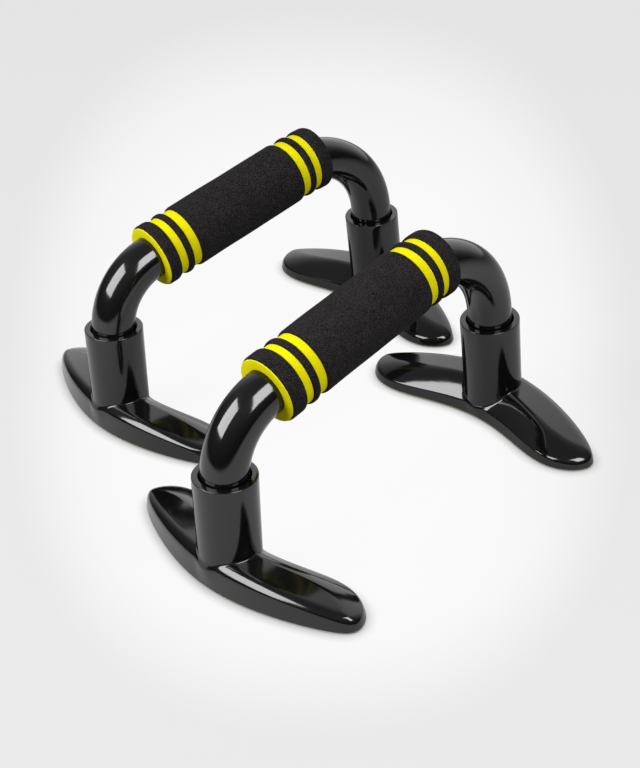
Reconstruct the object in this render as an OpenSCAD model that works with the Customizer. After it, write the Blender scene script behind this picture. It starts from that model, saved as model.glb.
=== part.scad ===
// Pair of parallette bars for push-ups: a bent tube with a foam grip stands in two crescent feet.
// Each bar runs along Y, its higher end at +Y. The soles stand on z = 0, and the origin is
// in the middle of the pair's outer box.

/* [Pair] */
// Distance across from the right bar to the left bar
bar_gap = 150.5; // [150:0.5:600]
// How far the left bar stands behind the right one
bar_stagger = 50.5; // [40:0.5:100]
// Turn of the left bar about the vertical, in degrees
bar_toe = -4; // [-6:0.5:0]

/* [Handle] */
// Outer diameter of the tube
tube_d = 25; // [20:0.5:30]
// Wall of the tube
tube_wall = 1.2; // [0.8:0.1:2.5]
// Distance between the two legs, from axis to axis at the socket rims
span = 197; // [160:1:260]
// Lean of each leg, outwards at the bottom, in degrees
splay = 3; // [0:0.5:5]
// Height of the front corner of the tube's axis above the rims
front_corner_h = 28; // [24:0.5:40]
// Height of the rear corner of the tube's axis above the rims
rear_corner_h = 63; // [50:0.5:80]
// Radius of the front bend, on the tube's axis
front_bend_r = 37.5; // [25:0.5:42]
// Radius of the rear bend, on the tube's axis
rear_bend_r = 50.5; // [35:0.5:55]
// Depth to which a leg goes into its foot
seat_depth = 44; // [30:1:46]

/* [Grip] */
// Outer diameter of the foam grip
grip_d = 38; // [34:0.5:46]
// Thickness of the black foam skin on the yellow core
skin_t = 1.4; // [1:0.1:1.8]
// Length of the middle sleeve
sleeve_l = 78; // [60:1:90]
// Width of each groove, where the core shows
groove_w = 4.8; // [3:0.1:7]
// Width of each narrow ring between two grooves
ring_w = 4.5; // [3:0.1:7]
// Width of each end band
band_w = 8.8; // [6:0.1:14]
// Place of the sleeve's middle on the straight, from the straight's own middle
grip_shift = -5.2; // [-8:0.1:4]
// How far the core stands out of the end bands
core_proud = 0.4; // [0:0.1:2]
// Rounding of the black pieces' outer edges
skin_round = 0.9; // [0.3:0.1:1]
// Gap between the layers of the grip, and between the grip and the tube
grip_slip = 0.05; // [0.02:0.01:0.2]

/* [Foot] */
// Height of the socket's rim above the floor
rim_h = 60; // [56:0.5:80]
// Outer diameter of the socket at its rim
rim_d = 33.6; // [30:0.2:38]
// Outer diameter of the socket at the floor
socket_base_d = 33.8; // [32:0.2:38]
// Rounding of the rim's outer edge
rim_round = 0.6; // [0.5:0.1:1.4]
// Length of the foot, from tip to tip
foot_len = 161.4; // [140:0.2:190]
// Outer edge of the foot at its middle, from the leg's axis
foot_out = 17.3; // [17:0.1:24]
// Inner edge of the foot at its middle, from the leg's axis
foot_in = 17.7; // [17:0.1:24]
// Sweep of the outer edge towards the bar's middle, at the tips
out_sweep = 28.4; // [10:0.1:35]
// Easing of the outer edge's sweep near the tips
out_ease = 14.1; // [0:0.1:18]
// Sweep of the inner edge towards the bar's middle, at the tips
in_sweep = 38.1; // [20:0.1:45]
// Easing of the inner edge's sweep near the tips
in_ease = 27.9; // [15:0.1:32]
// Bluntness of the tips: the power of their round
tip_power = 4.4; // [3:0.1:8]
// Height of the wings over the floor
wing_h = 7.2; // [6:0.1:9]
// Height of the crest, at the middle of the outer edge
crest_h = 16.2; // [11:0.1:18]
// Fall of the crest from the outer edge to the inner one, in degrees
crest_fall = 13.6; // [8:0.1:18]
// Radius of the crest's long arch
crest_r = 800; // [500:10:1200]
// Side wall of the foot
foot_wall = 2.6; // [2:0.1:4]
// Roof of the foot over its hollow underside
roof_t = 2.6; // [2:0.1:3]
// Thickness of the stiffening ribs in the hollow
rib_t = 1.8; // [1.2:0.1:2.5]
// Distance between the stiffening ribs
rib_pitch = 13; // [9:0.5:15]
// Number of ribs in each wing
rib_count = 4; // [1:1:4]
// Radial clearance of the leg in its seat
seat_clear = 0.08; // [0.03:0.01:0.1]
// Radial clearance of the leg in the wider mouth
mouth_clear = 0.75; // [0.5:0.05:1.2]
// Depth of the wider mouth
mouth_depth = 8; // [7:0.5:14]
// Thickness of the shelf that carries the leg
shelf_t = 3; // [2:0.1:4]

/* [Sole] */
// Thickness of the rubber sole
sole_t = 1.5; // [1:0.1:2]
// How far the sole's edge lies inside the foot's edge
sole_inset = 0.7; // [0.3:0.1:1.5]
// Width of the sole's locating lip
lip_w = 1.5; // [1:0.1:2.5]
// Height of the sole's locating lip
lip_h = 1.4; // [1:0.1:1.6]
// Gap around the locating lip
lip_clear = 0.3; // [0.1:0.05:0.5]

/* [End plug] */
// Depth of the plug's spigot in the tube
spigot_l = 16; // [10:1:22]
// Wall of the hollow spigot
spigot_wall = 2.5; // [1.5:0.1:4]
// Thickness of the flange under the tube's end
flange_t = 3; // [2:0.1:4]
// Length of the tongue that stops the foot from turning
tongue_l = 15; // [10:0.5:18]
// Width of the tongue
tongue_w = 5; // [4:0.1:7]
// Height of the tongue
tongue_h = 5; // [4:0.1:6]
// Gap around the tongue in the shelf
tongue_clear = 0.3; // [0.1:0.05:0.5]

/* [Hidden] */

gloss_black = [0.03, 0.03, 0.03];
foam_black = [0.13, 0.12, 0.13];
foam_yellow = [0.9, 0.87, 0.03];
sole_olive = [0.35, 0.34, 0.22];
plug_grey = [0.25, 0.25, 0.26];

round_fn = 96;
tube_fn = 48;
arch_fn = 360;
outline_steps = 36;
cut_over = 1;
seam_proud = 0.15;
seam_l = 0.6;

tube_r = tube_d / 2;
grip_r = grip_d / 2;
core_r = grip_r - skin_t;

// Corners of the tube's axis, as [y, z] in the bar's upright plane
front_corner = [-span / 2 + front_corner_h * tan(splay), rim_h + front_corner_h];
rear_corner = [span / 2 - rear_corner_h * tan(splay), rim_h + rear_corner_h];
rise = rear_corner - front_corner;
incline = atan2(rise.y, rise.x);
along = [cos(incline), sin(incline)];
below = [sin(incline), -cos(incline)];
straight_mid = (front_corner + rear_corner) / 2;

front_turn = 90 - splay - incline;
rear_turn = 90 - splay + incline;
front_setback = front_bend_r * tan(front_turn / 2);
rear_setback = rear_bend_r * tan(rear_turn / 2);
straight_start = front_corner + front_setback * along;
straight_end = rear_corner - rear_setback * along;
straight_l = norm(straight_end - straight_start);
front_bend_mid = straight_start + front_bend_r * below;
rear_bend_mid = straight_end + rear_bend_r * below;
front_leg_top = front_corner_h / cos(splay) - front_setback;
rear_leg_top = rear_corner_h / cos(splay) - rear_setback;

// Places along the grip, from the middle of the sleeve
ring_start = sleeve_l / 2 + groove_w;
band_start = ring_start + ring_w + groove_w;
core_l = 2 * (band_start + band_w + core_proud);

// The leg's axis meets the floor here, measured from the bar's middle
foot_y = span / 2 + rim_h * tan(splay);
socket_l = rim_h / cos(splay);
shelf_top = socket_l - seat_depth - flange_t;
under_shelf_r = socket_base_d / 2 - foot_wall;
rib_start = socket_base_d / 2 + rib_pitch / 2;

// The foot's edges at u, which runs from -1 at one tip to 1 at the other
function outer_edge(u) = foot_out - out_sweep * pow(u, 2) + out_ease * pow(u, 4);
function inner_edge(u) = -foot_in - in_sweep * pow(u, 2) + in_ease * pow(u, 4);
function tip_round(u) = sqrt(max(0, 1 - pow(abs(u), tip_power)));
function edge_point(u, side, inset) =
    let (middle = (outer_edge(u) + inner_edge(u)) / 2)
    let (half = (outer_edge(u) - inner_edge(u)) / 2 - inset)
    [u * (foot_len / 2 - inset), middle + side * half * tip_round(u)];
function tip_to_tip(i) = sin(-90 + 180 * i / outline_steps);
function foot_points(inset) = concat(
    [for (i = [0 : outline_steps]) edge_point(tip_to_tip(i), 1, inset)],
    [for (i = [outline_steps - 1 : -1 : 1]) edge_point(tip_to_tip(i), -1, inset)]
);

// The pair's outer box, from the corners of the four feet on the floor
function turned(p, angle) =
    [p.x * cos(angle) - p.y * sin(angle), p.x * sin(angle) + p.y * cos(angle)];
bar_points = [
    for (end = [-1, 1])
        for (p = foot_points(0))
            end * [p.x, foot_y + p.y]
];
pair_points = concat(
    bar_points,
    [for (p = bar_points) [-bar_gap, bar_stagger] + turned(p, bar_toe)]
);
pair_x = [for (p = pair_points) p.x];
pair_y = [for (p = pair_points) p.y];
pair_mid = [(min(pair_x) + max(pair_x)) / 2, (min(pair_y) + max(pair_y)) / 2, 0];

// Places

module on_right() {
    translate(-pair_mid) children();
}

module on_left() {
    translate([-bar_gap, bar_stagger, 0] - pair_mid) rotate([0, 0, bar_toe]) children();
}

module at_rear() {
    translate([0, foot_y, 0]) children();
}

module at_front() {
    rotate([0, 0, 180]) at_rear() children();
}

// In a foot's frame, +Y points away from the bar's middle and the leg leans back over it
module along_leg() {
    rotate([splay, 0, 0]) children();
}

module in_upright_plane() {
    rotate([90, 0, 90]) children();
}

module along_grip() {
    translate([0, straight_mid.x, straight_mid.y])
        rotate([incline - 90, 0, 0])
            translate([0, 0, grip_shift])
                children();
}

// Handle

// A tube along the tube's axis, from one leg's end to the other's, or a solid rod where bore is 0
module tube_run(r, bore) {
    bend_run(front_bend_mid, front_bend_r, 90 + incline, front_turn) tube_section(r, bore);
    bend_run(rear_bend_mid, rear_bend_r, splay, rear_turn) tube_section(r, bore);
    along_straight() linear_extrude(straight_l) tube_section(r, bore);
    at_front() leg_run(front_leg_top) tube_section(r, bore);
    at_rear() leg_run(rear_leg_top) tube_section(r, bore);
}

module tube_section(r, bore) {
    difference() {
        circle(r = r, $fn = tube_fn);
        if (bore > 0)
            circle(r = bore, $fn = tube_fn);
    }
}

module bend_run(middle, bend_r, start, turn) {
    in_upright_plane()
        translate([middle.x, middle.y, 0])
            rotate([0, 0, start])
                rotate_extrude(angle = turn, $fn = round_fn)
                    translate([bend_r, 0])
                        children();
}

module leg_run(top) {
    along_leg()
        translate([0, 0, socket_l - seat_depth])
            linear_extrude(seat_depth + top)
                children();
}

module along_straight() {
    translate([0, straight_start.x, straight_start.y])
        rotate([incline - 90, 0, 0])
            children();
}

// Low rings where the bends meet the straight stretches, so that the tube is one piece
module bend_seams(r, bore) {
    along_straight() {
        bend_seam() tube_section(r, bore);
        translate([0, 0, straight_l]) bend_seam() tube_section(r, bore);
    }
    at_front() along_leg() translate([0, 0, socket_l + front_leg_top]) bend_seam() tube_section(r, bore);
    at_rear() along_leg() translate([0, 0, socket_l + rear_leg_top]) bend_seam() tube_section(r, bore);
}

module bend_seam() {
    linear_extrude(seam_l, center = true)
        children();
}

module handle_tube() {
    color(gloss_black) {
        tube_run(tube_r, tube_r - tube_wall);
        bend_seams(tube_r + seam_proud, tube_r - tube_wall - seam_proud);
    }
}

// Moulded plug in the open end of a leg, with a tongue that keys into the foot's shelf
module end_plug() {
    spigot_r = tube_r - tube_wall - grip_slip;
    color(plug_grey)
        along_leg()
            translate([0, 0, shelf_top]) {
                difference() {
                    union() {
                        cylinder(r = tube_r, h = flange_t, $fn = round_fn);
                        cylinder(r = spigot_r, h = flange_t + spigot_l, $fn = round_fn);
                    }
                    translate([0, 0, flange_t])
                        cylinder(r = spigot_r - spigot_wall, h = spigot_l + cut_over, $fn = round_fn);
                }
                translate([-tongue_l / 2, -tongue_w / 2, -tongue_h])
                    cube([tongue_l, tongue_w, tongue_h]);
            }
}

// Grip

module grip_core() {
    color(foam_yellow)
        difference() {
            along_grip()
                cylinder(r = core_r, h = core_l, center = true, $fn = round_fn);
            tube_run(tube_r + grip_slip, 0);
            bend_seams(tube_r + seam_proud + grip_slip, 0);
        }
}

// One black piece of the skin, a ring with rounded outer edges that starts at z
module skin_piece(z, width) {
    color(foam_black)
        along_grip()
            translate([0, 0, z])
                rotate_extrude($fn = round_fn)
                    translate([core_r + grip_slip, 0])
                        skin_section(skin_t - grip_slip, width);
}

module skin_section(depth, width) {
    intersection() {
        square([depth, width]);
        union() {
            square([depth - skin_round, width]);
            translate([0, skin_round])
                square([depth, width - 2 * skin_round]);
            for (y = [skin_round, width - skin_round])
                translate([depth - skin_round, y])
                    circle(r = skin_round, $fn = tube_fn);
        }
    }
}

module grip_sleeve() {
    skin_piece(-sleeve_l / 2, sleeve_l);
}

module grip_front_ring() {
    skin_piece(-ring_start - ring_w, ring_w);
}

module grip_rear_ring() {
    skin_piece(ring_start, ring_w);
}

module grip_front_band() {
    skin_piece(-band_start - band_w, band_w);
}

module grip_rear_band() {
    skin_piece(band_start, band_w);
}

// Foot

module foot_outline(inset) {
    polygon(foot_points(inset));
}

// Everything under the foot's top face, lowered by drop
module under_top(drop) {
    reach = foot_len;
    translate([-reach, -reach, 0])
        cube([2 * reach, 2 * reach, wing_h - drop]);
    translate([0, foot_out, crest_h - drop])
        rotate([crest_fall, 0, 0])
            translate([0, 0, -crest_r])
                rotate([90, 0, 0])
                    cylinder(r = crest_r, h = 2 * reach, center = true, $fn = arch_fn);
}

module wings(inset, drop, floor_z) {
    intersection() {
        translate([0, 0, floor_z])
            linear_extrude(rim_h)
                foot_outline(inset);
        under_top(drop);
    }
}

module above_sole() {
    reach = foot_len;
    intersection() {
        children();
        translate([-reach, -reach, sole_t])
            cube([2 * reach, 2 * reach, reach]);
    }
}

// The outside of the socket, with its rounded rim
module socket_body() {
    rim_r = rim_d / 2;
    base_r = socket_base_d / 2;
    above_sole()
        along_leg() {
            translate([0, 0, -base_r])
                cylinder(r = base_r, h = base_r, $fn = round_fn);
            rotate_extrude($fn = round_fn) {
                polygon([
                    [0, 0],
                    [base_r, 0],
                    [rim_r, socket_l - rim_round],
                    [rim_r - rim_round, socket_l],
                    [0, socket_l]
                ]);
                translate([rim_r - rim_round, socket_l - rim_round])
                    circle(r = rim_round, $fn = round_fn);
            }
        }
}

module socket_bore() {
    seat_r = tube_r + seat_clear;
    mouth_r = tube_r + mouth_clear;
    along_leg() {
        translate([0, 0, shelf_top])
            cylinder(r = seat_r, h = socket_l, $fn = round_fn);
        translate([0, 0, socket_l - mouth_depth])
            cylinder(r = mouth_r, h = mouth_depth + cut_over, $fn = round_fn);
        translate([0, 0, socket_l - mouth_depth - mouth_clear])
            cylinder(r1 = seat_r, r2 = mouth_r, h = mouth_clear, $fn = round_fn);
        translate([0, 0, -rim_h])
            cylinder(r = under_shelf_r, h = rim_h + shelf_top - shelf_t, $fn = round_fn);
        translate([
            -tongue_l / 2 - tongue_clear,
            -tongue_w / 2 - tongue_clear,
            shelf_top - shelf_t - cut_over
        ])
            cube([
                tongue_l + 2 * tongue_clear,
                tongue_w + 2 * tongue_clear,
                shelf_t + 2 * cut_over
            ]);
    }
}

module ribs() {
    lift = sole_t + lip_h + lip_clear;
    for (side = [-1, 1])
        for (i = [0 : rib_count - 1])
            translate([side * (rib_start + i * rib_pitch) - rib_t / 2, -foot_len / 2, lift])
                cube([rib_t, foot_len, rim_h]);
}

module foot() {
    color(gloss_black)
        difference() {
            union() {
                wings(0, 0, sole_t);
                socket_body();
            }
            difference() {
                wings(foot_wall, roof_t, sole_t - cut_over);
                socket_body();
                ribs();
            }
            socket_bore();
        }
}

// Sole

module sole() {
    lip_inset = foot_wall + lip_clear;
    color(sole_olive) {
        linear_extrude(sole_t)
            foot_outline(sole_inset);
        difference() {
            linear_extrude(sole_t + lip_h)
                difference() {
                    foot_outline(lip_inset);
                    foot_outline(lip_inset + lip_w);
                }
            along_leg()
                cylinder(r = socket_base_d / 2 + lip_clear, h = rim_h, $fn = round_fn);
        }
    }
}

on_right() handle_tube();  // right_handle_tube
on_right() at_front() end_plug();  // right_front_end_plug
on_right() at_rear() end_plug();  // right_rear_end_plug
on_right() grip_core();  // right_grip_core
on_right() grip_sleeve();  // right_grip_sleeve
on_right() grip_front_ring();  // right_grip_front_ring
on_right() grip_rear_ring();  // right_grip_rear_ring
on_right() grip_front_band();  // right_grip_front_band
on_right() grip_rear_band();  // right_grip_rear_band
on_right() at_front() foot();  // right_front_foot
on_right() at_rear() foot();  // right_rear_foot
on_right() at_front() sole();  // right_front_sole
on_right() at_rear() sole();  // right_rear_sole
on_left() handle_tube();  // left_handle_tube
on_left() at_front() end_plug();  // left_front_end_plug
on_left() at_rear() end_plug();  // left_rear_end_plug
on_left() grip_core();  // left_grip_core
on_left() grip_sleeve();  // left_grip_sleeve
on_left() grip_front_ring();  // left_grip_front_ring
on_left() grip_rear_ring();  // left_grip_rear_ring
on_left() grip_front_band();  // left_grip_front_band
on_left() grip_rear_band();  // left_grip_rear_band
on_left() at_front() foot();  // left_front_foot
on_left() at_rear() foot();  // left_rear_foot
on_left() at_front() sole();  // left_front_sole
on_left() at_rear() sole();  // left_rear_sole
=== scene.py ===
"""A pair of parallette bars for push-ups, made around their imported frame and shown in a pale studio."""
import math

import bmesh
import bpy
from mathutils import Matrix, Vector


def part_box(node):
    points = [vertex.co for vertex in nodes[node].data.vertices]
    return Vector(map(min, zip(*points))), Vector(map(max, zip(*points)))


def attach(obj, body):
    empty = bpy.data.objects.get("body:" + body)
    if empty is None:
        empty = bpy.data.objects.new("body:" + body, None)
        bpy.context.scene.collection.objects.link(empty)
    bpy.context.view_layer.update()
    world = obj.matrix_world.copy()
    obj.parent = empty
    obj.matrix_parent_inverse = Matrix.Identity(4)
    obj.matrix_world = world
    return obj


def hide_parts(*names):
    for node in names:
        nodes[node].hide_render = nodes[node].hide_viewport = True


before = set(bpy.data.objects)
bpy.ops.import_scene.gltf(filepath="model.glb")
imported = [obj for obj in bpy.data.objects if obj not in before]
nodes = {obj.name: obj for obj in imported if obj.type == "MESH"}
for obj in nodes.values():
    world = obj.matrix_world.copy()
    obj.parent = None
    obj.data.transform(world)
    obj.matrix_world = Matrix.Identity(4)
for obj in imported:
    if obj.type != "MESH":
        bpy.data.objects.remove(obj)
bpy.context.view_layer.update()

MM = 0.001

# Camera: stands in front of the right bar's low end and looks down on the pair, rolled a little
# to one side as the photograph is.
view_turn = math.radians(48.64)
view_drop = math.radians(32.82)
view_roll = math.radians(-4.23)
view_distance = 834.4 * MM
view_aim = Vector((43.2, -26.4, 50.0)) * MM
view_line = Vector((
    -math.sin(view_turn) * math.cos(view_drop),
    math.cos(view_turn) * math.cos(view_drop),
    -math.sin(view_drop)))

camera_data = bpy.data.cameras.new("camera")
camera_data.sensor_width = 36
camera_data.lens = 71.83
camera_data.clip_start = 0.01
camera = bpy.data.objects.new("camera", camera_data)
camera.matrix_world = (
    Matrix.Translation(view_aim - view_distance * view_line)
    @ view_line.to_track_quat("-Z", "Y").to_matrix().to_4x4()
    @ Matrix.Rotation(view_roll, 4, "Z"))
bpy.context.collection.objects.link(camera)
bpy.context.scene.camera = camera
bpy.context.scene.view_settings.view_transform = "Standard"


# Studio: a dim room with a bright backdrop behind the bars, a white table, and a softbox on each
# side of the camera. Upright gloss shows the table, level gloss the dark room or the backdrop.
class Value:
    """A shader socket that takes part in arithmetic."""

    def __init__(self, socket):
        self.socket = socket

    def maths(self, operation, first, second):
        node = self.socket.id_data.nodes.new("ShaderNodeMath")
        node.operation = operation
        plug(first, node.inputs[0])
        plug(second, node.inputs[1])
        return Value(node.outputs[0])

    def __add__(self, other):
        return self.maths("ADD", self, other)

    def __sub__(self, other):
        return self.maths("SUBTRACT", self, other)

    def __mul__(self, other):
        return self.maths("MULTIPLY", self, other)

    def __rsub__(self, other):
        return self.maths("SUBTRACT", other, self)

    __radd__ = __add__
    __rmul__ = __mul__


def plug(item, socket):
    """Feeds a socket with a number, a colour or another node's output."""
    if isinstance(item, Value):
        socket.id_data.links.new(item.socket, socket)
    else:
        socket.default_value = item


class Finish:
    """One node tree in the making: a material's, or the world's."""

    def __init__(self, owner):
        self.owner = owner
        owner.use_nodes = True
        self.tree = owner.node_tree
        self.tree.nodes.clear()

    def node(self, kind, settings=None, inputs=None, output=0):
        node = self.tree.nodes.new(kind)
        for name, setting in (settings or {}).items():
            if name == "stops":
                ramp = node.color_ramp.elements
                while len(ramp) < len(setting):
                    ramp.new(0.5)
                for element, (place, colour) in zip(ramp, setting):
                    element.position = place
                    element.color = (*colour, 1)
            else:
                setattr(node, name, setting)
        for name, item in (inputs or {}).items():
            plug(item, node.inputs[name])
        return Value(node.outputs[output]) if node.outputs else None

    def mix(self, factor, first, second):
        colours = {"Factor": factor, 6: opaque(first), 7: opaque(second)}
        return self.node("ShaderNodeMix", {"data_type": "RGBA"}, colours, 2)

    def stretch(self, item, low, high, to_low, to_high):
        """Maps a value from one range to another, and holds it at the ends."""
        ends = {"Value": item, 1: low, 2: high, 3: to_low, 4: to_high}
        return self.node("ShaderNodeMapRange", {}, ends)


def opaque(colour):
    return (*colour, 1) if isinstance(colour, tuple) and len(colour) == 3 else colour


backdrop_line = Vector((-0.483, 0.837, 0.259))
world = Finish(bpy.data.worlds.new("studio"))
bpy.context.scene.world = world.owner
sight = world.node("ShaderNodeTexCoord", output=0)
height = world.node("ShaderNodeSeparateXYZ", inputs={"Vector": sight}, output=2)
facing = world.node(
    "ShaderNodeVectorMath", {"operation": "DOT_PRODUCT"}, {0: sight, 1: backdrop_line}, 1)
room = world.node("ShaderNodeValToRGB", {"stops": [
    (0.0, (0.03, 0.03, 0.03)), (0.26, (0.08, 0.08, 0.08)), (0.5, (0.18, 0.18, 0.18)),
    (0.77, (0.30, 0.30, 0.30)), (1.0, (0.22, 0.22, 0.22))]}, {"Fac": height})
backdrop = world.node("ShaderNodeValToRGB", {"stops": [
    (0.48, (0.0, 0.0, 0.0)), (0.56, (0.08, 0.08, 0.08)), (0.70, (0.28, 0.28, 0.28)),
    (0.80, (0.62, 0.62, 0.62)), (0.93, (0.82, 0.82, 0.82)), (1.0, (0.92, 0.92, 0.92))]},
    {"Fac": facing})
room_glow = world.node("ShaderNodeBackground", inputs={"Color": room, "Strength": 1.0})
backdrop_glow = world.node("ShaderNodeBackground", inputs={"Color": backdrop, "Strength": 1.45})
glow = world.node("ShaderNodeAddShader", inputs={0: room_glow, 1: backdrop_glow})
world.node("ShaderNodeOutputWorld", inputs={"Surface": glow})

# The camera sees the table as a white sweep that fades a little towards the picture's edges, with a
# painted contact shadow: its glow is dimmed a little where something stands close over it.
fade_middle_x = 0.5
fade_middle_y = 0.518
fade_half_x = 0.49
fade_half_y = 0.475
fade_power = 2.5
contact_reach = 0.0065
contact_shade = 0.40
sweep_glow = 0.93

table = Finish(bpy.data.materials.new("white_table"))
spot = table.node("ShaderNodeTexCoord", output=3)
picture = table.node("ShaderNodeTexCoord", output=5)
picture_x = table.node("ShaderNodeSeparateXYZ", inputs={"Vector": picture}, output=0)
picture_y = table.node("ShaderNodeSeparateXYZ", inputs={"Vector": picture}, output=1)
aside = (picture_x - fade_middle_x) * (1 / fade_half_x)
aloft = (picture_y - fade_middle_y) * (1 / fade_half_y)
off_x = aside.maths("ABSOLUTE", aside, 0.0)
off_y = aloft.maths("ABSOLUTE", aloft, 0.0)
off_both = off_x.maths("POWER", off_x, fade_power) + off_y.maths("POWER", off_y, fade_power)
off_middle = off_both.maths("POWER", off_both, 1 / fade_power)
sweep = table.node("ShaderNodeValToRGB", {"stops": [
    (0.0, (0.974, 0.974, 0.974)), (0.5, (0.974, 0.974, 0.974)), (0.65, (0.956, 0.956, 0.956)),
    (0.78, (0.930, 0.930, 0.930)), (0.89, (0.868, 0.868, 0.868)), (0.95, (0.832, 0.832, 0.832)),
    (1.0, (0.807, 0.807, 0.807))]}, {"Fac": off_middle})
towards_camera = table.node("ShaderNodeVectorMath", {"operation": "DOT_PRODUCT"}, {
    0: spot, 1: (0.7505, -0.6608, 0.0)}, 1)
edge = table.stretch(towards_camera, 0.42, 0.62, 0.0, 1.0)
board = table.node("ShaderNodeBsdfDiffuse", inputs={
    "Color": table.mix(edge, (0.46, 0.46, 0.46), (0.03, 0.03, 0.03))})
# Painted contact shadow: ambient occlusion near the feet dims the glow the camera sees on the table.
open_sky = table.node("ShaderNodeAmbientOcclusion", {"samples": 12}, {"Distance": contact_reach}, 1)
near_shade = table.stretch(open_sky, 0.35, 0.97, contact_shade, 1.0)
seen_glow = table.node("ShaderNodeEmission", inputs={"Color": sweep, "Strength": near_shade * sweep_glow})
seen_shade = table.node("ShaderNodeBsdfDiffuse", inputs={"Color": (0.032, 0.032, 0.032, 1)})
seen = table.node("ShaderNodeAddShader", inputs={0: seen_glow, 1: seen_shade})
straight = table.node("ShaderNodeLightPath", output=0)
surface = table.node("ShaderNodeMixShader", inputs={0: straight, 1: board, 2: seen})
table.node("ShaderNodeOutputMaterial", inputs={"Surface": surface})

table_half = 6.0
table_mesh = bpy.data.meshes.new("table_top")
table_mesh.from_pydata([
    (-table_half, -table_half, 0), (table_half, -table_half, 0),
    (table_half, table_half, 0), (-table_half, table_half, 0)], [], [(0, 1, 2, 3)])
table_mesh.materials.append(table.owner)
table_top = bpy.data.objects.new("table_top", table_mesh)
bpy.context.collection.objects.link(table_top)


def softbox(name, place, size, brightness, aim=(0, -0.08, 0.09)):
    """A rectangular lamp of an even brightness at a place in metres, turned towards the bars."""
    lamp = bpy.data.lights.new(name, "AREA")
    lamp.shape = "RECTANGLE"
    lamp.size, lamp.size_y = size
    lamp.energy = brightness * math.pi * size[0] * size[1]
    box = bpy.data.objects.new(name, lamp)
    line = Vector(aim) - Vector(place)
    box.matrix_world = Matrix.Translation(place) @ line.to_track_quat("-Z", "Y").to_matrix().to_4x4()
    bpy.context.collection.objects.link(box)


softbox("right_softbox", (0.607, -0.056, 0.695), (0.36, 0.54), 12.5)
softbox("left_softbox", (-0.167, -0.633, 0.631), (0.63, 0.52), 12.0)


# Handle tubes: one length of 25 mm steel tube each, bent twice, the front bend lower than the
# rear one, and painted gloss black. The open legs stand in the feet.
tube_r = 12.5
tube_bore_r = 11.3
span = 197.0
rim_h = 60.0
splay = math.radians(3)
front_corner_h = 28.0
rear_corner_h = 63.0
front_bend_r = 37.5
rear_bend_r = 50.5
seat_depth = 44.0
tube_facets = 96
bend_steps = 40

front_corner = Vector((0, -span / 2 + front_corner_h * math.tan(splay), rim_h + front_corner_h))
rear_corner = Vector((0, span / 2 - rear_corner_h * math.tan(splay), rim_h + rear_corner_h))
grip_line = (rear_corner - front_corner).normalized()
grip_up = Vector((1, 0, 0)).cross(grip_line)
straight_mid = (front_corner + rear_corner) / 2
front_leg = Vector((0, -math.sin(splay), -math.cos(splay)))
rear_leg = Vector((0, math.sin(splay), -math.cos(splay)))
foot_y = span / 2 + rim_h * math.tan(splay)
socket_l = rim_h / math.cos(splay)


def bend_between(corner, arriving, leaving, radius):
    """Points and directions round one bend of the tube's axis."""
    turn = arriving.angle(leaving)
    start = corner - arriving * radius * math.tan(turn / 2)
    inward = (leaving - arriving * arriving.dot(leaving)).normalized()
    for step in range(bend_steps + 1):
        a = turn * step / bend_steps
        place = start + radius * (math.sin(a) * arriving + (1 - math.cos(a)) * inward)
        yield place, math.cos(a) * arriving + math.sin(a) * inward


def tube_axis():
    """The tube's whole axis from the front leg's end to the rear leg's, as points with directions."""
    leg_end = socket_l - seat_depth
    front_end = Vector((0, -foot_y, 0)) - front_leg * leg_end
    rear_end = Vector((0, foot_y, 0)) - rear_leg * leg_end
    yield front_end, -front_leg
    yield from bend_between(front_corner, -front_leg, grip_line, front_bend_r)
    yield from bend_between(rear_corner, grip_line, rear_leg, rear_bend_r)
    yield rear_end, rear_leg


def ring_round(middle, line, radius, facets):
    """A circle square to a direction in the bar's upright plane."""
    side = Vector((1, 0, 0))
    up = side.cross(line)
    for k in range(facets):
        a = 2 * math.pi * k / facets
        yield middle + radius * (math.cos(a) * up + math.sin(a) * side)


def skin_rings(rings, closed):
    """Joins rings of equally many points into a sheet; closed joins the last ring to the first."""
    count = len(rings[0])
    points = [p for ring in rings for p in ring]
    faces = []
    pairs = len(rings) if closed else len(rings) - 1
    for i in range(pairs):
        j = (i + 1) % len(rings)
        for k in range(count):
            n = (k + 1) % count
            faces.append((i * count + k, i * count + n, j * count + n, j * count + k))
    return points, faces


def millimetre_mesh(name, points, faces, sharp_angle=32):
    """A closed mesh in metres from points in millimetres, its faces outwards, smooth but for sharp edges."""
    mesh = bpy.data.meshes.new(name)
    mesh.from_pydata([p * MM for p in points], [], faces)
    shape = bmesh.new()
    shape.from_mesh(mesh)
    bmesh.ops.recalc_face_normals(shape, faces=shape.faces)
    shape.to_mesh(mesh)
    shape.free()
    mesh.polygons.foreach_set("use_smooth", [True] * len(mesh.polygons))
    mesh.set_sharp_from_angle(angle=math.radians(sharp_angle))
    return mesh


bars = {}
for side, toe in (("right", 0), ("left", -4)):
    low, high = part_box(f"{side}_handle_tube")
    middle = (Vector(low) + Vector(high)) / 2
    bars[side] = Matrix.Translation((middle.x, middle.y, 0)) @ Matrix.Rotation(math.radians(toe), 4, "Z")
ends = {"front": Matrix.Rotation(math.pi, 4, "Z"), "rear": Matrix.Identity(4)}


def stand(name, mesh, place, finish, body, slot, *hidden):
    """Places a copy of a mesh as a piece that rides on a body and replaces CAD nodes."""
    copy = mesh.copy()
    copy.name = name
    copy.transform(place)
    copy.materials.clear()
    copy.materials.append(finish)
    piece = bpy.data.objects.new(name, copy)
    bpy.context.collection.objects.link(piece)
    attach(piece, body)
    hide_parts(*hidden)
    return piece


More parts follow.
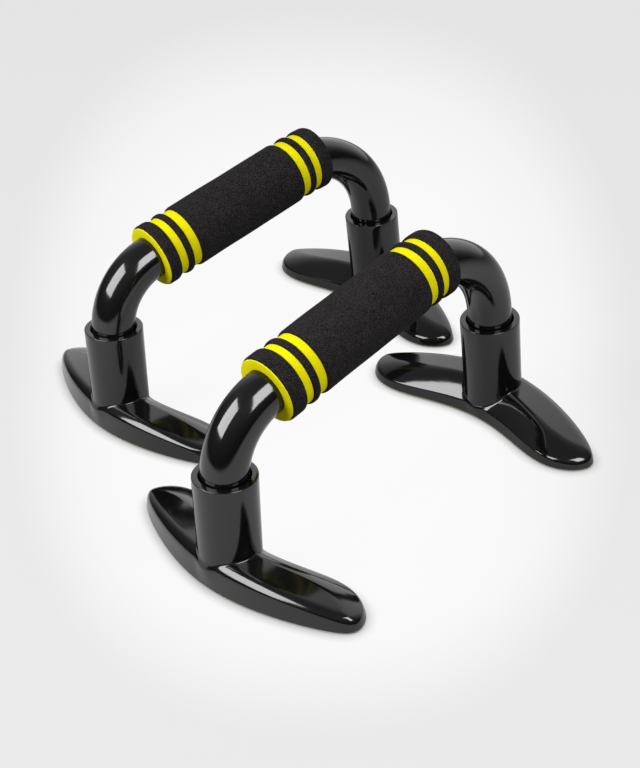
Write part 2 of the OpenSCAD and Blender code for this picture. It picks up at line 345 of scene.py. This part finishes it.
gloss_black = (0.0022, 0.0022, 0.0024)
paint = Finish(bpy.data.materials.new("gloss_black_paint"))
spot = paint.node("ShaderNodeTexCoord", output=3)
flow = paint.node("ShaderNodeTexNoise", inputs={"Vector": spot, "Scale": 620.0, "Detail": 2.0})
haze = paint.node("ShaderNodeTexNoise", inputs={"Vector": spot, "Scale": 38.0, "Detail": 4.0})
rest = paint.stretch(haze, 0.35, 0.75, 0.075, 0.13)
peel = paint.node("ShaderNodeBump", inputs={"Strength": 0.06, "Distance": 0.0002, "Height": flow})
surface = paint.node("ShaderNodeBsdfPrincipled", inputs={
    "Base Color": paint.mix(haze, gloss_black, (0.0034, 0.0034, 0.0035)),
    "Roughness": rest, "Normal": peel, "IOR": 1.52})
paint.node("ShaderNodeOutputMaterial", inputs={"Surface": surface})

outside = [list(ring_round(p, d, tube_r, tube_facets)) for p, d in tube_axis()]
inside = [list(ring_round(p, d, tube_bore_r, tube_facets)) for p, d in tube_axis()]
tube_points, tube_faces = skin_rings(outside + inside[::-1], True)
tube_mesh = millimetre_mesh("steel_tube", tube_points, tube_faces)
for side, bar in bars.items():
    stand(f"{side}_steel_tube", tube_mesh, bar, paint.owner, f"{side}_handle", "tube_paint",
          f"{side}_handle_tube")


# End plugs: one in the open end of each leg, moulded in matte black plastic and pushed in. Its
# flange bears on the shelf in the foot, and its tongue keeps the foot from turning on the leg.
plug_plastic = Finish(bpy.data.materials.new("matte_plug_plastic"))
spot = plug_plastic.node("ShaderNodeTexCoord", output=3)
grain = plug_plastic.node("ShaderNodeTexNoise", inputs={"Vector": spot, "Scale": 900.0, "Detail": 3.0})
wear = plug_plastic.node("ShaderNodeTexNoise", inputs={"Vector": spot, "Scale": 90.0, "Detail": 4.0})
texture = plug_plastic.node("ShaderNodeBump", inputs={"Strength": 0.2, "Distance": 0.0002, "Height": grain})
surface = plug_plastic.node("ShaderNodeBsdfPrincipled", inputs={
    "Base Color": plug_plastic.mix(wear, (0.016, 0.016, 0.017), (0.026, 0.026, 0.027)),
    "Roughness": plug_plastic.stretch(wear, 0.3, 0.7, 0.48, 0.62), "Normal": texture})
plug_plastic.node("ShaderNodeOutputMaterial", inputs={"Surface": surface})


def finish_node(name, finish):
    """Gives a CAD node that stays in sight its finish."""
    for place in nodes[name].material_slots:
        place.material = finish.owner


for side in bars:
    for end in ends:
        finish_node(f"{side}_{end}_end_plug", plug_plastic)


# Foam grips: a yellow foam tube on the straight part of the handle, under a thin black foam skin
# with two grooves cut through it near each end. The foam is too stiff to follow the rear bend, so
# its rear end stays nearly straight while the tube turns down inside it.
grip_r = 19.0
core_r = 17.6
core_first = -67.5
core_last = 56.5
core_proud = 0.4
end_face_r = 18.2
skin_slip = 0.05
foam_facets = 160
droop_start = 35.0
droop_r = 240.0
unevenness = 0.05
finer_unevenness = 0.04
skin_round_w = 2.2
skin_round_share = 0.42
skin_edge_wall = 0.2
skin_row_gap = 1.5
core_edge = 0.5
core_step_w = 0.1
core_step_chamfer = 0.05
core_steps = 96
bore_steps = 60
rear_turn = grip_line.angle(rear_leg)
rear_bend_start = (rear_corner - front_corner).length / 2 - rear_bend_r * math.tan(rear_turn / 2)


def foam_point(along, across, upward):
    """A point of the foam in the bar's frame, with the droop of its rear end."""
    past = max(0.0, along - droop_start)
    slope = past / droop_r
    middle = straight_mid + along * grip_line - past ** 2 / (2 * droop_r) * grip_up
    return middle + Vector((across, 0, 0)) + upward * (
        math.cos(slope) * grip_up + math.sin(slope) * grip_line)


def foam_ring(along, radius):
    """A round ring of the foam's surface, a little uneven as cut foam is."""
    for k in range(foam_facets):
        a = 2 * math.pi * k / foam_facets
        uneven = unevenness * math.sin(3 * a + along / 9) + finer_unevenness * math.sin(5 * a - along / 5)
        r = radius + uneven
        yield foam_point(along, r * math.sin(a), r * math.cos(a))


def bore_ring(along):
    """The ring where the foam lies on the tube, which sinks below the foam's axis past the bend."""
    past = max(0.0, along - rear_bend_start)
    sag = max(0.0, along - droop_start) ** 2 / (2 * droop_r)
    r = tube_r + skin_slip
    for k in range(foam_facets):
        a = 2 * math.pi * k / foam_facets
        rise = math.sqrt((rear_bend_r + r * math.cos(a)) ** 2 - past ** 2) - rear_bend_r
        yield foam_point(along, r * math.sin(a), rise + sag)


def skin_mesh(name, first, last):
    """One black piece of the skin: a sleeve whose outer edges are pressed round by the cutting."""
    inner = core_r + skin_slip
    width = last - first
    across = min(skin_round_w, skin_round_share * width)
    turns = [math.radians(15 * i) for i in range(7)]
    rise = grip_r - inner - skin_edge_wall
    edge = [(across * (1 - math.cos(a)), inner + skin_edge_wall + rise * math.sin(a)) for a in turns]
    rows = [(first, inner)]
    rows += [(first + into, r) for into, r in edge]
    steps = max(2, int(width / skin_row_gap))
    rows += [(first + across + (width - 2 * across) * i / steps, grip_r) for i in range(1, steps)]
    rows += [(last - into, r) for into, r in edge[::-1]]
    rows += [(last, inner)]
    rows += [(last - width * i / steps, inner) for i in range(1, steps)]
    return millimetre_mesh(name, *skin_rings([list(foam_ring(*row)) for row in rows], True), 50)


def core_mesh(name):
    """The yellow tube: its front end face stands out a little round the skin, its rear end is flush."""
    first, last = core_first, core_last
    start = first + core_proud + core_step_w
    rows = [(first + core_edge * (1 - math.sin(a)), end_face_r - core_edge * (1 - math.cos(a)))
            for a in (math.pi / 2, math.pi / 3, math.pi / 6, 0)]
    rows += [(start - core_step_chamfer, end_face_r - core_step_chamfer), (start, core_r)]
    rows += [(start + (last - start) * i / core_steps, core_r) for i in range(1, core_steps + 1)]
    rings = [list(foam_ring(*row)) for row in rows]
    for i in range(bore_steps + 1):
        rings.append(list(bore_ring(last - (last - first) * i / bore_steps)))
    return millimetre_mesh(name, *skin_rings(rings, True), 40)


def foam_finish(name, light, dark, pit_depth):
    """Closed-cell foam: fine pits, a soft mottle of light and dark, and no gloss."""
    foam = Finish(bpy.data.materials.new(name))
    spot = foam.node("ShaderNodeTexCoord", output=3)
    cells = foam.node("ShaderNodeTexVoronoi", {"feature": "F1"}, {"Vector": spot, "Scale": 1500.0})
    grain = foam.node("ShaderNodeTexNoise", inputs={"Vector": spot, "Scale": 1100.0, "Detail": 3.0})
    mottle = foam.node("ShaderNodeTexNoise", inputs={"Vector": spot, "Scale": 140.0, "Detail": 4.0})
    fleck = foam.node("ShaderNodeTexNoise", inputs={"Vector": spot, "Scale": 2100.0, "Detail": 1.0})
    tone = foam.stretch(fleck * 0.65 + grain * 0.25 + mottle * 0.1, 0.44, 0.60, 0.0, 1.0)
    pits = foam.node("ShaderNodeBump", inputs={
        "Strength": pit_depth, "Distance": 0.0003, "Height": cells * 0.7 + grain * 0.6})
    skin = foam.node("ShaderNodeBsdfPrincipled", inputs={
        "Base Color": foam.mix(tone, dark, light), "Roughness": foam.stretch(mottle, 0.3, 0.7, 0.85, 1.0),
        "Specular IOR Level": 0.06, "Normal": pits})
    foam.node("ShaderNodeOutputMaterial", inputs={"Surface": skin})
    return foam.owner


skin_foam = foam_finish("black_skin_foam", (0.0215, 0.0196, 0.0204), (0.0020, 0.0018, 0.0019), 0.9)
core_foam = foam_finish("yellow_core_foam", (0.50, 0.455, 0.0012), (0.43, 0.39, 0.0008), 0.4)

skin_cuts = {
    "right": {"front_band": (-66.9, -57.0), "front_ring": (-52.3, -47.8), "sleeve": (-42.6, 34.5),
              "rear_ring": (39.6, 43.8), "rear_band": (48.2, 56.7)},
    "left": {"front_band": (-67.1, -59.1), "front_ring": (-54.2, -49.9), "sleeve": (-44.4, 34.2),
             "rear_ring": (39.4, 43.7), "rear_band": (48.3, 56.7)}}
core = core_mesh("foam_core")
for side, bar in bars.items():
    piece = stand(f"{side}_foam_core", core, bar, core_foam, f"{side}_handle", "core_foam",
                  f"{side}_grip_core")
    for part, cuts in skin_cuts[side].items():
        piece = stand(f"{side}_foam_{part}", skin_mesh(part, *cuts), bar, skin_foam, f"{side}_handle",
                      "skin_foam", f"{side}_grip_{part}")


# Feet: moulded gloss-black plastic crescents, each with an upright socket for a leg. The crest runs
# along the outer edge and falls to the inner one, and the underside is hollow, with cross ribs.
foot_half = 80.7
foot_out = 17.3
foot_in = 17.7
out_sweep = 28.4
out_ease = 14.1
in_sweep = 38.1
in_ease = 27.9
tip_power = 5.0
crest_tip_h = 7.8
crest_rise = 10.2
out_wall_tip_h = 6.0
out_wall_rise = 6.3
in_wall_h = 5.2
in_wall_middle_more = 1.3
in_wall_tip_more = 1.0
out_round_w = 8.0
out_round_power = 2.6
in_round_share = 0.44
in_round_power = 1.5
ring_lift = 1.6
ring_lift_w = 0.7
ring_lift_reach = 5.0
ring_gap = 1.05
draft = 1.1
edge_round = 1.2
tip_round_more = 2.2
sole_t = 1.5
wall_t = 2.6
socket_rim_r = 16.8
socket_base_r = 16.65
rim_round = 0.4
mouth_clear = 0.75
seat_clear = 0.08
mouth_r = tube_r + mouth_clear
seat_r = tube_r + seat_clear
mouth_depth = 8.0
lip_round = 0.35
plug_flange_t = 3
shelf_top = socket_l - seat_depth - plug_flange_t
shelf_t = 3.0
ring_middle_y = 0.8
push_middle_y = 0.35
push_softness = 0.3
seat_first_try = 0.9
fillet_w = 1.3
fillet_h = 1.0
least_gap_share = 0.45
outline_steps = 120
top_steps = 26
socket_steps = 14
hollow_steps = 13
cut_over = 0.5


def outer_edge(u):
    return foot_out - out_sweep * u ** 2 + out_ease * u ** 4


def inner_edge(u):
    return -foot_in - in_sweep * u ** 2 + in_ease * u ** 4


def foot_edge(u, side, inset):
    """A point of the foot's outline, moved inwards."""
    middle = (outer_edge(u) + inner_edge(u)) / 2
    half = (outer_edge(u) - inner_edge(u)) / 2 - inset
    narrowing = math.sqrt(max(0, 1 - abs(u) ** tip_power))
    return Vector((u * (foot_half - inset), middle + side * half * narrowing, 0))


def outline_stations():
    """Places round the outline: along the outer edge, then back along the inner one."""
    for i in range(outline_steps + 1):
        yield math.sin(math.pi * (i / outline_steps - 0.5)), 1
    for i in range(outline_steps - 1, 0, -1):
        yield math.sin(math.pi * (i / outline_steps - 0.5)), -1


def top_height(x, y):
    """Height of the foot's top. It is level along the crest, rolls over to the high outer wall, and
    falls with a growing slope to the low inner wall. Where an edge is close it climbs to the socket."""
    u = max(-1.0, min(1.0, x / foot_half))
    half = (outer_edge(u) - inner_edge(u)) / 2
    local_half = half * math.sqrt(max(1e-6, 1 - abs(u) ** tip_power))
    across = max(-1.0, min(1.0, (y - (outer_edge(u) + inner_edge(u)) / 2) / local_half))
    from_out = (1 - across) * local_half
    from_in = (1 + across) * local_half
    crest = crest_tip_h + crest_rise * (1 - u * u)
    out_wall = out_wall_tip_h + out_wall_rise * (1 - u * u)
    in_wall = in_wall_h + in_wall_middle_more * (1 - u * u) ** 2 + in_wall_tip_more * u ** 8
    out_drop = (crest - out_wall) * max(0.0, 1 - from_out / out_round_w) ** out_round_power
    in_drop = (crest - in_wall) * max(0.0, 1 - from_in / (in_round_share * 2 * half)) ** in_round_power
    near = max(0.0, math.hypot(x, y + ring_middle_y) - socket_base_r)
    close = max(0.0, 1 - min(from_out, from_in) / ring_lift_reach)
    lift = ring_lift * math.exp(-near / ring_lift_w) * close
    return crest - (out_drop ** 3 + in_drop ** 3) ** (1 / 3) + lift


def socket_r(h):
    """Radius of the socket at a length h up the leg."""
    return socket_base_r + (socket_rim_r - socket_base_r) * h / socket_l


def socket_point(x, y, z):
    """The point of the socket's side at a height, in the plan direction of a place beside it."""
    middle_y = -z * math.tan(splay)
    away = math.hypot(x, y - middle_y)
    side_x, side_y = x / away, (y - middle_y) / away
    h = (z - socket_base_r * side_y * math.sin(splay)) / math.cos(splay)
    return leg_point(socket_r(h), side_x, side_y, h), h


def leg_point(r, side_x, side_y, h):
    """A point beside the leg's axis, at a distance r in a plan direction and a length h up the leg."""
    return Vector((
        r * side_x,
        r * side_y * math.cos(splay) - h * math.sin(splay),
        h * math.cos(splay) + r * side_y * math.sin(splay)))


def blend(first, bend, last, steps):
    """A smooth round corner between two points, drawn towards the sharp corner."""
    for i in range(steps + 1):
        t = i / steps
        yield (1 - t) ** 2 * first + 2 * t * (1 - t) * bend + t ** 2 * last


def foot_column(u, side):
    """One line up the foot: from its bottom edge over the crest to the socket and up to the rim."""
    foot = foot_edge(u, side, 0)
    foot.z = sole_t
    crest = foot_edge(u, side, draft)
    reach = math.hypot(crest.x, crest.y + push_middle_y)
    least = socket_base_r + ring_gap
    pushed = (reach + least + math.sqrt((reach - least) ** 2 + push_softness)) / 2
    crest = Vector((
        crest.x * pushed / reach, (crest.y + push_middle_y) * pushed / reach - push_middle_y, 0))
    crest.z = top_height(crest.x, crest.y)
    seat, seat_h = socket_point(
        crest.x, crest.y, top_height(seat_first_try * crest.x, seat_first_try * crest.y))
    for _ in range(6):
        seat, seat_h = socket_point(crest.x, crest.y, top_height(seat.x, seat.y))
    gap = (seat.xy - crest.xy).length
    inward = (seat - crest).normalized()
    rounding = edge_round + tip_round_more * u ** 6
    edge_in = min(rounding, least_gap_share * gap)
    foot_of_edge = crest + (foot - crest).normalized() * rounding
    on_top = crest + inward * edge_in
    on_top.z = top_height(on_top.x, on_top.y)
    fillet_out = seat - inward * min(fillet_w, least_gap_share * gap)
    fillet_out.z = top_height(fillet_out.x, fillet_out.y)
    away = Vector((seat.x, seat.y + seat.z * math.tan(splay))).normalized()

    def up_socket(h):
        return leg_point(socket_r(h), away.x, away.y, h)

    points = [foot, foot.lerp(foot_of_edge, 0.35), foot.lerp(foot_of_edge, 0.7)]
    points += blend(foot_of_edge, crest, on_top, 8)
    for i in range(1, top_steps):
        place = on_top.lerp(fillet_out, i / top_steps)
        place.z = top_height(place.x, place.y)
        points.append(place)
    low = seat_h + fillet_h
    high = socket_l - rim_round
    points += blend(fillet_out, seat, up_socket(low), 5)
    points += [up_socket(low + (high - low) * i / socket_steps) for i in range(1, socket_steps + 1)]
    rim_top_r = socket_rim_r - rim_round
    for i in range(1, 6):
        a = math.radians(18 * i)
        points.append(leg_point(rim_top_r + rim_round * math.cos(a), away.x, away.y,
                                high + rim_round * math.sin(a)))
    points.append(leg_point(0.5 * (rim_top_r + mouth_r + lip_round), away.x, away.y, socket_l))
    return points


def closed_columns(columns, low_middle, high_middle):
    """A closed skin from columns that stand round a shape, with a point in each end."""
    count = len(columns)
    length = len(columns[0])
    points = [p for column in columns for p in column] + [low_middle, high_middle]
    faces = []
    for i in range(count):
        n = (i + 1) % count
        faces += [(i * length + k, n * length + k, n * length + k + 1, i * length + k + 1)
                  for k in range(length - 1)]
        faces.append((n * length, i * length, count * length))
        faces.append((i * length + length - 1, n * length + length - 1, count * length + 1))
    return points, faces


def lathe(rows):
    """A round tool about the leg's axis from (radius, length up the leg) rows, closed at both ends."""
    facets = 96
    turns = [2 * math.pi * k / facets for k in range(facets)]
    columns = [[leg_point(r, math.cos(a), math.sin(a), h) for r, h in rows] for a in turns]
    return closed_columns(columns, leg_point(0, 1, 0, rows[0][1]), leg_point(0, 1, 0, rows[-1][1]))


def box_between(low, high):
    """A box between two corners."""
    points = [Vector((x, y, z))
              for x in (low[0], high[0]) for y in (low[1], high[1]) for z in (low[2], high[2])]
    faces = [(0, 1, 3, 2), (4, 6, 7, 5), (0, 4, 5, 1), (2, 3, 7, 6), (0, 2, 6, 4), (1, 5, 7, 3)]
    return points, faces


def cut(mesh, tools):
    """Takes tool meshes away from a mesh with exact booleans."""
    block = bpy.data.objects.new("block", mesh)
    bpy.context.collection.objects.link(block)
    helpers = []
    for tool in tools:
        helper = bpy.data.objects.new("tool", tool)
        bpy.context.collection.objects.link(helper)
        helpers.append(helper)
        step = block.modifiers.new("cut", "BOOLEAN")
        step.operation = "DIFFERENCE"
        step.solver = "EXACT"
        step.object = helper
    result = bpy.data.meshes.new_from_object(block.evaluated_get(bpy.context.evaluated_depsgraph_get()))
    for helper in (block, *helpers):
        bpy.data.objects.remove(helper)
    return result


outer_columns = [foot_column(u, side) for u, side in outline_stations()]
outer = millimetre_mesh("foot_outer", *closed_columns(
    outer_columns, Vector((0, 0, sole_t)), leg_point(0, 1, 0, socket_l)))

hollow_columns = []
for u, side in outline_stations():
    rim = foot_edge(u, side, wall_t)
    column = [Vector((rim.x, rim.y, 0))]
    for i in range(hollow_steps):
        x, y = rim.x * (1 - i / hollow_steps), rim.y * (1 - i / hollow_steps)
        column.append(Vector((x, y, top_height(x, y) - wall_t)))
    hollow_columns.append(column)
hollow = millimetre_mesh("foot_hollow", *closed_columns(
    hollow_columns, Vector((0, 0, 0)), Vector((0, 0, top_height(0, 0) - wall_t))))
socket_core = millimetre_mesh("socket_core", *lathe([
    (socket_base_r, -18), (socket_base_r, 0), (socket_rim_r, socket_l)]))


rib_wall = 1.8
rib_pitch = 13.0
rib_count = 4
rib_first = socket_base_r + rib_pitch / 2
rib_lift = 3.2
rib_reach = 60.0

rib_rows = bpy.data.node_groups.new("rib_rows", "GeometryNodeTree")
face = rib_rows.interface
sizes = {}
for label, kind in (("Thickness", "Float"), ("Pitch", "Float"), ("First rib", "Float"), ("Lift", "Float"),
                    ("Reach", "Float"), ("Count", "Int")):
    sizes[label] = face.new_socket(label, in_out="INPUT", socket_type=f"NodeSocket{kind}").identifier
face.new_socket("Ribs", in_out="OUTPUT", socket_type="NodeSocketGeometry")


def rib_node(kind, inputs=None):
    """Adds a node to the tree of ribs, its inputs fed by values or by (node, output) pairs."""
    node = rib_rows.nodes.new(kind)
    for name, item in (inputs or {}).items():
        if isinstance(item, tuple) and isinstance(item[0], bpy.types.Node):
            rib_rows.links.new(item[0].outputs[item[1]], node.inputs[name])
        else:
            node.inputs[name].default_value = item
    return node


given = rib_node("NodeGroupInput")
step = rib_node("ShaderNodeCombineXYZ", {"X": (given, "Pitch")})
half_reach = rib_node("ShaderNodeMath", {0: (given, "Reach"), 1: 0.5})
half_reach.operation = "MULTIPLY"
middle_z = rib_node("ShaderNodeMath", {0: (given, "Lift"), 1: (half_reach, 0)})
first_place = rib_node("ShaderNodeCombineXYZ", {"X": (given, "First rib"), "Z": (middle_z, 0)})
row = rib_node("GeometryNodeMeshLine", {
    "Count": (given, "Count"), "Start Location": (first_place, 0), "Offset": (step, 0)})
block = rib_node("ShaderNodeCombineXYZ", {
    "X": (given, "Thickness"), "Y": (given, "Reach"), "Z": (given, "Reach")})
rib_shape = rib_node("GeometryNodeMeshCube", {"Size": (block, 0)})
one_wing = rib_node("GeometryNodeInstanceOnPoints", {"Points": (row, 0), "Instance": (rib_shape, 0)})
other_wing = rib_node("GeometryNodeTransform", {
    "Geometry": (one_wing, 0), "Rotation": (0.0, 0.0, math.pi)})
both = rib_node("GeometryNodeJoinGeometry")
rib_rows.links.new(other_wing.outputs[0], both.inputs[0])
rib_rows.links.new(one_wing.outputs[0], both.inputs[0])
real = rib_node("GeometryNodeRealizeInstances", {"Geometry": (both, 0)})
dressed = rib_node("GeometryNodeSetMaterial", {"Geometry": (real, 0)})
rib_rows.links.new(dressed.outputs[0], rib_node("NodeGroupOutput").inputs[0])


def rib_mesh():
    """The ribs of both wings as one plain mesh, in metres."""
    maker = bpy.data.objects.new("rib_maker", bpy.data.meshes.new("rib_maker"))
    bpy.context.collection.objects.link(maker)
    rows = maker.modifiers.new("rib_rows", "NODES")
    rows.node_group = rib_rows
    lengths = {"Thickness": rib_wall, "Pitch": rib_pitch, "First rib": rib_first, "Lift": rib_lift,
               "Reach": rib_reach}
    for label, length in lengths.items():
        rows[sizes[label]] = length * MM
    rows[sizes["Count"]] = rib_count
    result = bpy.data.meshes.new_from_object(maker.evaluated_get(bpy.context.evaluated_depsgraph_get()))
    bpy.data.objects.remove(maker)
    return result


foot_plastic = Finish(bpy.data.materials.new("gloss_foot_plastic"))
dressed.inputs["Material"].default_value = foot_plastic.owner
spot = foot_plastic.node("ShaderNodeTexCoord", output=3)
flow = foot_plastic.node("ShaderNodeTexNoise", inputs={"Vector": spot, "Scale": 48.0, "Detail": 2.0})
haze = foot_plastic.node("ShaderNodeTexNoise", inputs={"Vector": spot, "Scale": 75.0, "Detail": 5.0})
speck = foot_plastic.node("ShaderNodeTexVoronoi", {"feature": "F1"}, {"Vector": spot, "Scale": 210.0})
dust = foot_plastic.stretch(speck, 0.03, 0.10, 1.0, 0.0)
sink = foot_plastic.node("ShaderNodeBump", inputs={"Strength": 0.10, "Distance": 0.0015, "Height": flow})
surface = foot_plastic.node("ShaderNodeBsdfPrincipled", inputs={
    "Base Color": foot_plastic.mix(dust, (0.0022, 0.0022, 0.0024), (0.006, 0.006, 0.006)),
    "Roughness": foot_plastic.stretch(haze, 0.35, 0.7, 0.085, 0.135), "Normal": sink, "IOR": 1.5})
foot_plastic.node("ShaderNodeOutputMaterial", inputs={"Surface": surface})

slot_half_l = 7.8
slot_half_w = 2.8
under_r = socket_base_r - wall_t
pockets = cut(hollow, [socket_core, rib_mesh()])
bore = millimetre_mesh("leg_bore", *lathe([
    (seat_r, shelf_top), (seat_r, socket_l - mouth_depth - mouth_clear), (mouth_r, socket_l - mouth_depth),
    (mouth_r, socket_l - lip_round), (mouth_r + lip_round + cut_over, socket_l + cut_over)]))
under_shelf = millimetre_mesh("under_shelf", *lathe([(under_r, -8), (under_r, shelf_top - shelf_t)]))
key_points, key_faces = box_between(
    (-slot_half_l, -slot_half_w, shelf_top - shelf_t - 1), (slot_half_l, slot_half_w, shelf_top + 1))
key_slot = millimetre_mesh("key_slot", [leg_point(1, p.x, p.y, p.z) for p in key_points], key_faces)
foot_mesh = cut(outer, [pockets, bore, under_shelf, key_slot])
foot_mesh.transform(Matrix.Translation((0, foot_y * MM, 0)))
foot_mesh.polygons.foreach_set("use_smooth", [True] * len(foot_mesh.polygons))
foot_mesh.set_sharp_from_angle(angle=math.radians(30))
for side, bar in bars.items():
    for end, turn in ends.items():
        stand(f"{side}_{end}_crescent_foot", foot_mesh, bar @ turn, foot_plastic.owner,
              f"{side}_{end}_foot", "foot_plastic", f"{side}_{end}_foot")


# Soles: a thin sheet of olive rubber under each foot, with a lip that presses into the hollow.
sole_rubber = Finish(bpy.data.materials.new("olive_sole_rubber"))
spot = sole_rubber.node("ShaderNodeTexCoord", output=3)
grain = sole_rubber.node("ShaderNodeTexNoise", inputs={"Vector": spot, "Scale": 800.0, "Detail": 3.0})
dirt = sole_rubber.node("ShaderNodeTexNoise", inputs={"Vector": spot, "Scale": 60.0, "Detail": 5.0})
texture = sole_rubber.node("ShaderNodeBump", inputs={"Strength": 0.25, "Distance": 0.0002, "Height": grain})
surface = sole_rubber.node("ShaderNodeBsdfPrincipled", inputs={
    "Base Color": sole_rubber.mix(dirt, (0.17, 0.17, 0.105), (0.23, 0.23, 0.155)),
    "Roughness": sole_rubber.stretch(dirt, 0.3, 0.7, 0.78, 0.92), "Normal": texture})
sole_rubber.node("ShaderNodeOutputMaterial", inputs={"Surface": surface})
for side in bars:
    for end in ends:
        finish_node(f"{side}_{end}_sole", sole_rubber)
